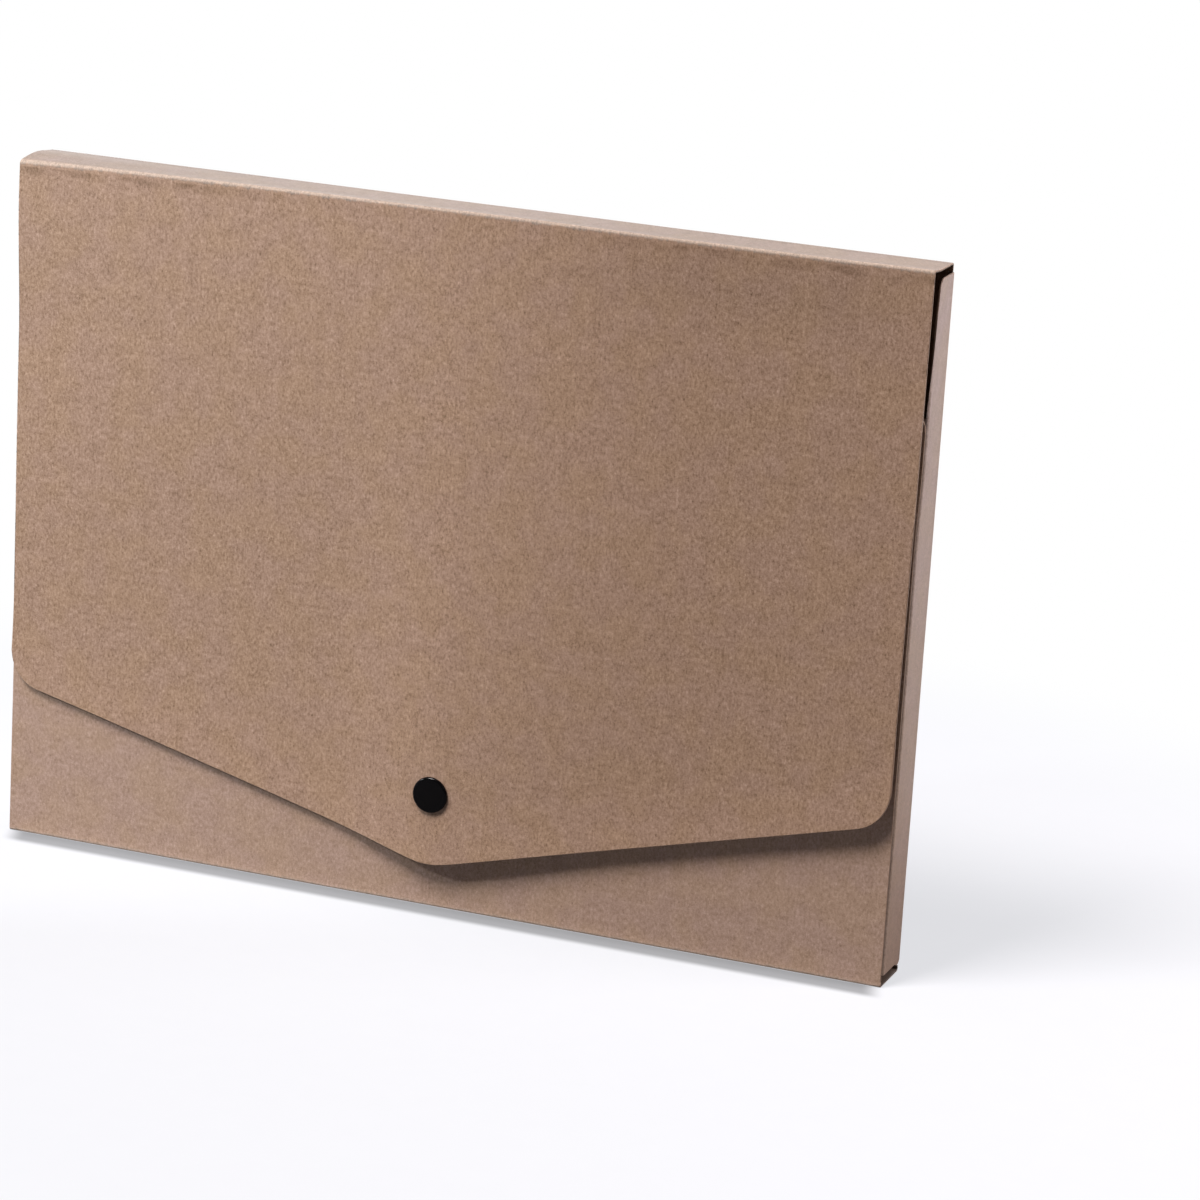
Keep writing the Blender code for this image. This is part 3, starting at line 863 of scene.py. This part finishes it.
class Graph:
    """Short calls for one tree of nodes. An argument is a socket to link or a value to set."""

    def __init__(self, tree):
        self.tree = tree
        self.shader = tree.nodes.get("Principled BSDF")

    def give(self, socket, value):
        if isinstance(value, bpy.types.NodeSocket):
            self.tree.links.new(value, socket)
        else:
            socket.default_value = value

    def surface(self, **inputs):
        """Inputs of the material's shader, with _ for a space in their names."""
        for key, value in inputs.items():
            self.give(self.shader.inputs[key.replace("_", " ")], value)

    def add(self, kind, inputs, **settings):
        made = self.tree.nodes.new(kind)
        for key, value in settings.items():
            setattr(made, key, value)
        for key, value in inputs.items():
            self.give(made.inputs[key], value)
        return made

    def attribute(self, name, output="Fac"):
        return self.add("ShaderNodeAttribute", {}, attribute_name=name).outputs[output]

    def math(self, operation, a, b=0.0, c=0.0, clamp=False):
        inputs = {0: a, 1: b, 2: c}
        return self.add("ShaderNodeMath", inputs, operation=operation, use_clamp=clamp).outputs[0]

    def product(self, value, *others):
        for other in others:
            value = self.math("MULTIPLY", value, other)
        return value

    def total(self, value, *others):
        for other in others:
            value = self.math("ADD", value, other)
        return value

    def noise(self, vector, size, detail=2.0, roughness=0.5, distortion=0.0, turn=0.0):
        """Noise with features of this size, turned in the plane of the sheet."""
        size = size if isinstance(size, tuple) else (size, size, size)
        inputs = {"Vector": vector, "Rotation": (0, 0, turn), "Scale": size}
        place = self.add("ShaderNodeMapping", inputs, vector_type="TEXTURE").outputs[0]
        inputs = {"Vector": place, "Scale": 1.0, "Detail": detail, "Roughness": roughness}
        return self.add("ShaderNodeTexNoise", inputs | {"Distortion": distortion}).outputs[0]

    def smooth(self, value, low, high, start=0.0, end=1.0):
        inputs = {"Value": value, "From Min": low, "From Max": high, "To Min": start, "To Max": end}
        return self.add("ShaderNodeMapRange", inputs, interpolation_type="SMOOTHSTEP").outputs[0]

    def mix(self, factor, a, b):
        return self.add("ShaderNodeMix", {0: factor, 6: a, 7: b}, data_type="RGBA").outputs[2]

    def scaled(self, colour, factor):
        inputs = {0: colour, "Scale": factor}
        return self.add("ShaderNodeVectorMath", inputs, operation="SCALE").outputs[0]

    def tinted(self, colour, factors):
        """A colour multiplied by a factor for each of its channels."""
        return self.add("ShaderNodeVectorMath", {0: colour, 1: factors}, operation="MULTIPLY").outputs[0]


def new_material(name):
    """A material and the graph of its nodes."""
    material = bpy.data.materials.new(name)
    material.use_nodes = True
    return material, Graph(material.node_tree)


BUMP_DEPTH = 0.05 * MM

# Kraft board: its colours, and tints that paint light on it: the pocket lighter and bluer, the top spine
# darker and greyer, the upper side walls lighter and bluer
KRAFT_WARM = (0.324, 0.207, 0.132, 1)
KRAFT_ROSE = (0.324, 0.208, 0.144, 1)
KRAFT_PALE = (0.36, 0.29, 0.24)
KRAFT_EDGE = (0.32, 0.2, 0.128)
KRAFT_ROUGH = (0.46, 0.6)
# Painted light: the pocket is lighter and bluer than the lid, as if lit by cool light from the floor
POCKET_LIGHT_TINT = (1.12, 1.18, 1.31)
# Painted shade: the top spine is darker and greyer than the rest of the same board, where the high key falls
# strongest
SPINE_SHADE_TINT = (0.69, 0.78, 0.92)
# Painted reflection: the side walls are lighter and bluer higher up, as if mirroring the bright background
# behind
WALL_REFLECTION_TINT = (1.06, 1.2, 1.42)
FLAP_ONSET = mm(-2, 0)
WALL_ONSET = (SPINE_HALF + 0.5 * MM, SPINE_HALF + 3 * MM)
WALL_UPPER = (back_length(50 * MM), back_length(230 * MM))

# Its marks: their sizes, and how much each adds to a lightness of 1, which red, green and blue each take to a
# power. The pocket has less of them
SHADE_POWERS = (0.9, 1.05, 1.3)
CLOUD_SIZE = 16 * MM
MOTTLE_SIZE = mm(0.9, 1.5, 0.9)
MOTTLE_SHARE = 1.3
GRAIN_SIZE = 0.5 * MM
GRAIN_SHARE = 0.8
PATCH_SIZE = mm(4, 6, 5)
PATCH_SHARE = 0.5
MEAN_LEVEL = (MOTTLE_SHARE + GRAIN_SHARE + PATCH_SHARE) / 2
FIBRE_TURNS = (0.5, 1.3, 1.85)
FIBRE_SIZE = mm(2.6, 0.26, 1)
FIBRE_LIGHT = 0.16
FIBRE_DARK = 0.13
FLECK_SIZE = mm(0.7, 1, 0.7)
FLECK_SHARE = 0.25
POCKET_CONTRAST = 0.75

# Its folds are worn pale, with a darker band beside them. Its inner faces get painted shade, most in the
# base's corners
WORN_MIDDLE = 0.1 * MM
WORN_REACH = mm(1.3, 0.5)
WORN_SHARE = 0.85
WORN_ROUGH = 0.35
MOTTLE_FRAY = 2.0 * MM
PATCH_FRAY = 1.6 * MM
FOLD_BAND_START = mm(1.2, 2.0)
FOLD_BAND_END = mm(6, 2)
FOLD_BAND_SIDE = mm(40, 110)
FOLD_BAND_MIDDLE = 0.25
FOLD_BAND_SIZE = mm(11, 4, 1)
FOLD_BAND_LEVEL = 0.7
EDGE_SHARE = 0.7
INSIDE_SHADE = 0.4
NOOK_SHADE = 0.85
NOOK_HEIGHT = (back_length(6 * MM), back_length(3 * MM))
NOOK_SIDE = (SPINE_HALF - 14 * MM, SPINE_HALF - 8 * MM)


def kraft_tint(g, sheet, along, aside, lid):
    """Cloudy brown, with tints that paint light and shade: a lighter, bluer pocket, a darker, greyer spine
    and lighter, bluer upper side walls.
    """
    cloud = g.noise(sheet, CLOUD_SIZE)
    tint = g.mix(g.smooth(cloud, 0.36, 0.64), KRAFT_WARM, KRAFT_ROSE)
    flap = g.smooth(along, *FLAP_ONSET)
    # Painted light on the pocket, and painted shade on the spine
    tint = g.mix(lid, g.tinted(tint, POCKET_LIGHT_TINT), g.mix(flap, g.tinted(tint, SPINE_SHADE_TINT), tint))
    # Painted reflection: the upper side walls lighter and bluer
    upper = g.product(g.smooth(aside, *WALL_ONSET), g.smooth(along, *WALL_UPPER))
    return g.mix(upper, tint, g.tinted(tint, WALL_REFLECTION_TINT))


def kraft_fibres(g, sheet):
    """Light and dark strands that lie in a few directions."""
    fibres = []
    for turn in FIBRE_TURNS:
        strand = g.noise(sheet, FIBRE_SIZE, 1.0, 0.5, 0.6, turn)
        light = g.product(g.smooth(strand, 0.64, 0.74), FIBRE_LIGHT)
        dark = g.product(g.smooth(strand, 0.36, 0.27), FIBRE_DARK)
        fibres.append(g.math("SUBTRACT", light, dark))
    return g.total(*fibres)


def kraft_level(g, sheet, mottle, grain, patch, fibres, lid):
    """Lightness about 1 from all the marks together."""
    level = g.total(g.product(mottle, MOTTLE_SHARE), g.product(grain, GRAIN_SHARE))
    level = g.total(level, g.product(patch, PATCH_SHARE), 1 - MEAN_LEVEL, fibres)
    fleck = g.noise(sheet, FLECK_SIZE, 0.0)
    level = g.math("SUBTRACT", level, g.smooth(fleck, 0.68, 0.8, 0.0, FLECK_SHARE))
    level = g.total(level, g.smooth(fleck, 0.32, 0.2, 0.0, FLECK_SHARE))
    contrast = g.smooth(lid, 0.0, 1.0, POCKET_CONTRAST, 1.0)
    return g.math("MULTIPLY_ADD", g.math("SUBTRACT", level, 1.0), contrast, 1.0)


def kraft_folds(g, sheet, aside, mottle, patch):
    """How pale a fold is worn, with a frayed edge, and how strong the darker band beside it is."""
    fold = g.attribute("fold")
    wear = g.attribute("wear")
    away = g.math("ABSOLUTE", g.total(fold, WORN_MIDDLE))
    frayed = g.total(away, g.product(g.math("SUBTRACT", mottle, 0.5), MOTTLE_FRAY))
    frayed = g.total(frayed, g.product(g.math("SUBTRACT", patch, 0.5), PATCH_FRAY))
    worn_and_lit = g.product(g.smooth(frayed, *WORN_REACH), wear)
    fold_band = g.product(g.smooth(fold, *FOLD_BAND_START), g.smooth(aside, *FOLD_BAND_SIDE, FOLD_BAND_MIDDLE, 1.0))
    blotch = g.smooth(g.noise(sheet, FOLD_BAND_SIZE, 4.0, 0.6), 0.34, 0.62)
    return worn_and_lit, g.product(fold_band, g.smooth(fold, *FOLD_BAND_END), blotch, wear)


def kraft_inside_shade(g, along, aside, layer):
    """How much painted shade darkens a place on an inner face, more in a corner at the base."""
    inside = g.smooth(layer, 0.2 * INNER_LAYER, 0.8 * INNER_LAYER)
    nook = g.product(g.smooth(along, *NOOK_HEIGHT), g.smooth(aside, *NOOK_SIDE))
    return g.product(inside, g.smooth(nook, 0.0, 1.0, INSIDE_SHADE, NOOK_SHADE))


def kraft_material():
    """Recycled kraft board: cloudy tint, mottle along the grain, fibres, flecks, worn folds and cut edges,
    with painted light and shade in its tints and on its inner faces.
    """
    material, g = new_material("kraft_board")
    sheet = g.attribute("sheet", "Vector")
    split = g.add("ShaderNodeSeparateXYZ", {0: sheet})
    along = split.outputs["Y"]
    aside = g.math("ABSOLUTE", split.outputs["X"])
    lid = g.smooth(along, BACK_TOP, SPINE_BACK)
    mottle = g.noise(sheet, MOTTLE_SIZE, 2.0, 0.55)
    patch = g.noise(sheet, PATCH_SIZE)
    grain = g.noise(sheet, GRAIN_SIZE)
    fibres = kraft_fibres(g, sheet)

    tint = kraft_tint(g, sheet, along, aside, lid)
    level = kraft_level(g, sheet, mottle, grain, patch, fibres, lid)
    worn_and_lit, fold_band = kraft_folds(g, sheet, aside, mottle, patch)
    # Painted shade: inner faces darker, most in the base's corners
    darker = kraft_inside_shade(g, along, aside, split.outputs["Z"])
    level = g.product(level, g.smooth(fold_band, 0.0, 1.0, 1.0, FOLD_BAND_LEVEL), g.math("SUBTRACT", 1.0, darker))
    shades = {k: g.math("POWER", level, power) for k, power in enumerate(SHADE_POWERS)}
    colour = g.tinted(tint, g.add("ShaderNodeCombineXYZ", shades).outputs[0])
    # Worn folds paler: real wear, and on the base's front fold also painted light over its shaded underside
    colour = g.mix(g.product(worn_and_lit, WORN_SHARE), colour, g.scaled(KRAFT_PALE, level))
    colour = g.mix(g.product(g.attribute("rim"), EDGE_SHARE), colour, g.scaled(KRAFT_EDGE, level))
    rough = g.total(g.smooth(mottle, 0.3, 0.7, *KRAFT_ROUGH), g.product(worn_and_lit, WORN_ROUGH))
    height = g.total(g.product(mottle, 0.6), g.product(grain, 0.3), fibres)
    height = g.total(height, g.product(grain, 0.8, worn_and_lit))
    bump = g.add("ShaderNodeBump", {"Height": height, "Strength": 0.7, "Distance": BUMP_DEPTH})
    g.surface(Base_Color=colour, Roughness=rough, Normal=bump.outputs[0])
    g.surface(Specular_IOR_Level=0.7, Sheen_Weight=0.2, Sheen_Roughness=0.5)
    return material


SNAP_BLACK = (0.0012, 0.0012, 0.0015, 1)
SNAP_HAZE = (0.003, 0.0027, 0.003, 1)
HAZE_SIZE = 2.5 * MM
MARK_SIZE = mm(3, 0.12, 3)


def snap_material():
    """Glossy black moulded plastic with a faint haze and fine handling marks."""
    material, g = new_material("snap_black")
    place = g.add("ShaderNodeTexCoord", {}).outputs["Object"]
    haze = g.noise(place, HAZE_SIZE, 3.0)
    marks = g.noise(place, MARK_SIZE, 2.0, 0.6, 0.4, 0.6)
    colour = g.mix(haze, SNAP_BLACK, SNAP_HAZE)
    rough = g.total(g.smooth(haze, 0.3, 0.7, 0.12, 0.2), g.smooth(marks, 0.62, 0.75, 0.0, 0.1))
    bump = g.add("ShaderNodeBump", {"Height": haze, "Strength": 0.15, "Distance": BUMP_DEPTH})
    g.surface(Base_Color=colour, Roughness=rough, Normal=bump.outputs[0], Specular_IOR_Level=0.15)
    return material


# Floor: the grey that lights the case, and what the camera sees of it, which grows white away from the case.
# Gloss mirrors the seen floor where it lies behind the case
FLOOR_HALF = 6.0
FLOOR_CELLS = 8
FLOOR_COLOUR = (0.15, 0.15, 0.16, 1)
FLOOR_SEEN = (0.6, 0.61, 0.65, 1)
FLOOR_NEAR = (0.94, 0.96, 1.0, 1)
FLOOR_FAR = (1.0, 1.0, 1.0, 1)
FLOOR_SHARE = 0.66
FLOOR_CLEAR = (0.27, 0.42)
FLOOR_BEHIND = (0.06, 0.3)
DUST_SIZE = 12 * MM
DUST_LEVEL = (0.99, 1.01)

# Along the lower front edge the floor is shaded where the camera sees it, and lights the fold above it
CONTACT_FADE = mm(11.5, 6.5)
CONTACT_START = mm(-1, 0)
CONTACT_SLANT = 0.3
CONTACT_SIDE = (SPINE_HALF + 2 * MM, SPINE_HALF - 7 * MM)
CONTACT_SHADE = (0.6, 0.53)
BOUNCE_FADE = mm(5, 2)
BOUNCE = (0.4, 0.4, 0.4, 1)


def floor_material():
    """Pale floor that the camera sees mostly as a white sweep, with the case's shadow on it."""
    material, g = new_material("pale_floor")
    place = g.add("ShaderNodeTexCoord", {}).outputs["Object"]
    path = g.add("ShaderNodeLightPath", {})
    split = g.add("ShaderNodeSeparateXYZ", {0: place})
    behind = g.smooth(split.outputs["Y"], *FLOOR_BEHIND)
    mirrored = g.product(path.outputs["Is Glossy Ray"], behind)
    seen = g.math("MAXIMUM", path.outputs["Is Camera Ray"], mirrored)

    ahead = g.math("SUBTRACT", FRONT_Y, split.outputs["Y"])
    slanted = g.math("SUBTRACT", split.outputs["X"], g.product(ahead, CONTACT_SLANT))
    ends = g.smooth(g.math("ABSOLUTE", slanted), *CONTACT_SIDE)
    strip = g.product(g.smooth(ahead, *CONTACT_START), ends)
    contact = g.product(g.smooth(ahead, *CONTACT_FADE), strip)
    lit = g.product(g.smooth(ahead, *BOUNCE_FADE), strip)
    colour = g.mix(seen, g.mix(lit, FLOOR_COLOUR, BOUNCE), FLOOR_SEEN)
    shade = g.smooth(ahead, 0.0, CONTACT_FADE[1], *CONTACT_SHADE)
    open_floor = g.math("SUBTRACT", 1.0, g.product(contact, seen, shade))
    dust = g.noise(place, DUST_SIZE, 3.0)
    level = g.product(open_floor, g.smooth(dust, 0.2, 0.8, *DUST_LEVEL))
    g.surface(Base_Color=g.scaled(colour, level), Roughness=0.6, Specular_IOR_Level=0.1)

    reach = g.add("ShaderNodeVectorMath", {0: place}, operation="LENGTH").outputs["Value"]
    far = g.smooth(reach, *FLOOR_CLEAR)
    share = g.total(g.product(far, 1 - FLOOR_SHARE), FLOOR_SHARE)
    sweep = g.scaled(g.mix(far, FLOOR_NEAR, FLOOR_FAR), open_floor)
    white = g.add("ShaderNodeEmission", {"Color": sweep, "Strength": 1.0})
    shaders = {1: g.shader.outputs[0], 2: white.outputs[0]}
    blend = g.add("ShaderNodeMixShader", {0: g.product(seen, share)} | shaders)
    g.give(g.tree.nodes["Material Output"].inputs["Surface"], blend.outputs[0])
    return material


# Studio: a high soft key at the front left and a fill at the right, each as (name, direction, distance, size,
# power, colour), a beam from the left that ends softly on the flap, and a dim warm world

LIGHTS = (
    ("key", (-0.29, -0.43, 0.855), 6.0, 2.17, 583.0, (1.0, 0.94, 0.91)),
    ("side_fill", (0.85, 0.15, 0.5), 0.75, 0.3, 3.1, (1.07, 0.96, 0.94)),
)
BEAM_PLACE = Vector((-0.62, -0.36, 0.42))
BEAM_ENDS = (0.005, 0.058)
BEAM_HALF_ANGLE = math.radians(70)
BEAM_RADIUS = 0.03
BEAM_POWER = 13.0
BEAM_COLOUR = (0.9, 0.94, 0.97)
AMBIENT = (1.06, 0.8, 0.62, 1)
AMBIENT_LEVEL = 0.03

# Where gloss mirrors the world as white: slope from the side to the back, and slope and start at the far left
MIRROR_BACK = 2.5
MIRROR_LEFT = (-4.0, -3.0)


def add_floor():
    work = bmesh.new()
    bmesh.ops.create_grid(work, x_segments=FLOOR_CELLS, y_segments=FLOOR_CELLS, size=FLOOR_HALF)
    mesh = bpy.data.meshes.new("floor")
    work.to_mesh(mesh)
    work.free()
    floor = add_object("floor", mesh)
    mesh.materials.append(floor_material())


def add_lamp(name, kind, place, way, power, colour):
    """A lamp that shines one way, to be given its size."""
    lamp = bpy.data.lights.new(name, kind)
    lamp.energy = power
    lamp.color = colour
    obj = add_object(name, lamp)
    obj.location = place
    obj.rotation_euler = way.to_track_quat("-Z", "Y").to_euler()
    return lamp


def add_lights():
    middle = Vector((0, 0, TOP_Z / 2))
    for name, way, distance, size, power, colour in LIGHTS:
        place = middle + distance * Vector(way).normalized()
        lamp = add_lamp(name, "AREA", place, middle - place, power, colour)
        lamp.size = size


def add_beam():
    """Lamp whose beam fades out between two places across the flap, along an upright edge."""
    ways = [(Vector((x, FLAP_Y, TOP_Z / 2)) - BEAM_PLACE).normalized() for x in BEAM_ENDS]
    full, edge = ways
    upright = (Vector((0, 0, 1)) - edge.z * edge).normalized()
    aside = edge.cross(upright)
    if aside.dot(full - edge) < 0:
        aside = -aside
    axis = math.cos(BEAM_HALF_ANGLE) * edge + math.sin(BEAM_HALF_ANGLE) * aside
    lamp = add_lamp("left_beam", "SPOT", BEAM_PLACE, axis, BEAM_POWER, BEAM_COLOUR)
    lamp.spot_size = 2 * BEAM_HALF_ANGLE
    lamp.spot_blend = (axis.dot(full) - axis.dot(edge)) / (1 - axis.dot(edge))
    lamp.shadow_soft_size = BEAM_RADIUS


def add_world():
    """Dim warm light, seen as white by the camera, and by gloss at the back and the far left."""
    world = bpy.data.worlds.new("studio")
    world.use_nodes = True
    g = Graph(world.node_tree)
    ambient = g.tree.nodes["Background"]
    ambient.inputs["Color"].default_value = AMBIENT
    ambient.inputs["Strength"].default_value = AMBIENT_LEVEL
    white = g.add("ShaderNodeBackground", {"Color": (1, 1, 1, 1)})
    path = g.add("ShaderNodeLightPath", {})
    way = g.add("ShaderNodeTexCoord", {}).outputs["Generated"]
    split = g.add("ShaderNodeSeparateXYZ", {0: way})
    back = g.math("MULTIPLY", split.outputs["Y"], MIRROR_BACK, clamp=True)
    left = g.math("MULTIPLY_ADD", split.outputs["X"], *MIRROR_LEFT, clamp=True)
    around = g.math("MAXIMUM", back, left)
    mirrored = g.math("MULTIPLY", path.outputs["Is Glossy Ray"], around, clamp=True)
    seen = g.math("MAXIMUM", path.outputs["Is Camera Ray"], mirrored)
    blend = g.add("ShaderNodeMixShader", {0: seen, 1: ambient.outputs[0], 2: white.outputs[0]})
    g.give(g.tree.nodes["World Output"].inputs["Surface"], blend.outputs[0])
    bpy.context.scene.world = world


def add_camera():
    az, el, roll = CAMERA_AZIMUTH, CAMERA_ELEVATION, CAMERA_ROLL
    back = Vector((math.sin(az) * math.cos(el), -math.cos(az) * math.cos(el), math.sin(el)))
    level = Vector((math.cos(az), math.sin(az), 0))
    upright = back.cross(level)
    right = math.cos(roll) * level + math.sin(roll) * upright
    up = math.cos(roll) * upright - math.sin(roll) * level
    camera = add_object("camera", bpy.data.cameras.new("camera"))
    camera.data.sensor_width = CAMERA_SENSOR
    camera.data.lens = CAMERA_LENS
    camera.matrix_world = Matrix((right, up, back)).transposed().to_4x4()
    camera.location = CAMERA_RIGHT * right + CAMERA_UP * up + CAMERA_DISTANCE * back
    bpy.context.scene.camera = camera


# The dressed case

def dress(obj, look, body=None, solid=None):
    """Gives a piece its look, the body it rides on and the solid it replaces. A crease has neither."""
    material, slot = look
    obj.data.materials.append(material)
    if body is not None:
        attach(obj, body)
        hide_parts(solid)
    return obj


def main():
    kraft = (kraft_material(), "kraft_board")
    black = (snap_material(), "snap_black")
    dress(front_board(), kraft, "pocket", "front_panel")
    dress(base_board(), kraft, "pocket", "bottom_spine")
    dress(back_board(), kraft, "pocket", "back_panel")
    for name, side in (("left", -1), ("right", 1)):
        dress(wall_board(name + "_wall_board", side), kraft, "pocket", name + "_side_wall")
        dress(tab_board(name + "_tab_board", side), kraft, "pocket", name + "_glue_tab")
    dress(spine_board(), kraft, "spine", "top_spine")
    dress(flap_board(), kraft, "flap", "closure_flap")

    crease = dress(spine_crease(), kraft)
    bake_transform(crease)
    crease = dress(flap_crease(), kraft)
    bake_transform(crease)

    dress(snap_cap(), black, "flap", "snap_cap")
    dress(snap_socket(), black, "flap", "snap_socket")
    dress(snap_stud(), black, "pocket", "snap_stud")
    dress(snap_back_cap(), black, "pocket", "snap_back_cap")

    add_floor()
    add_world()
    add_lights()
    add_beam()
    add_camera()
    bpy.context.scene.view_settings.view_transform = "Standard"


main()
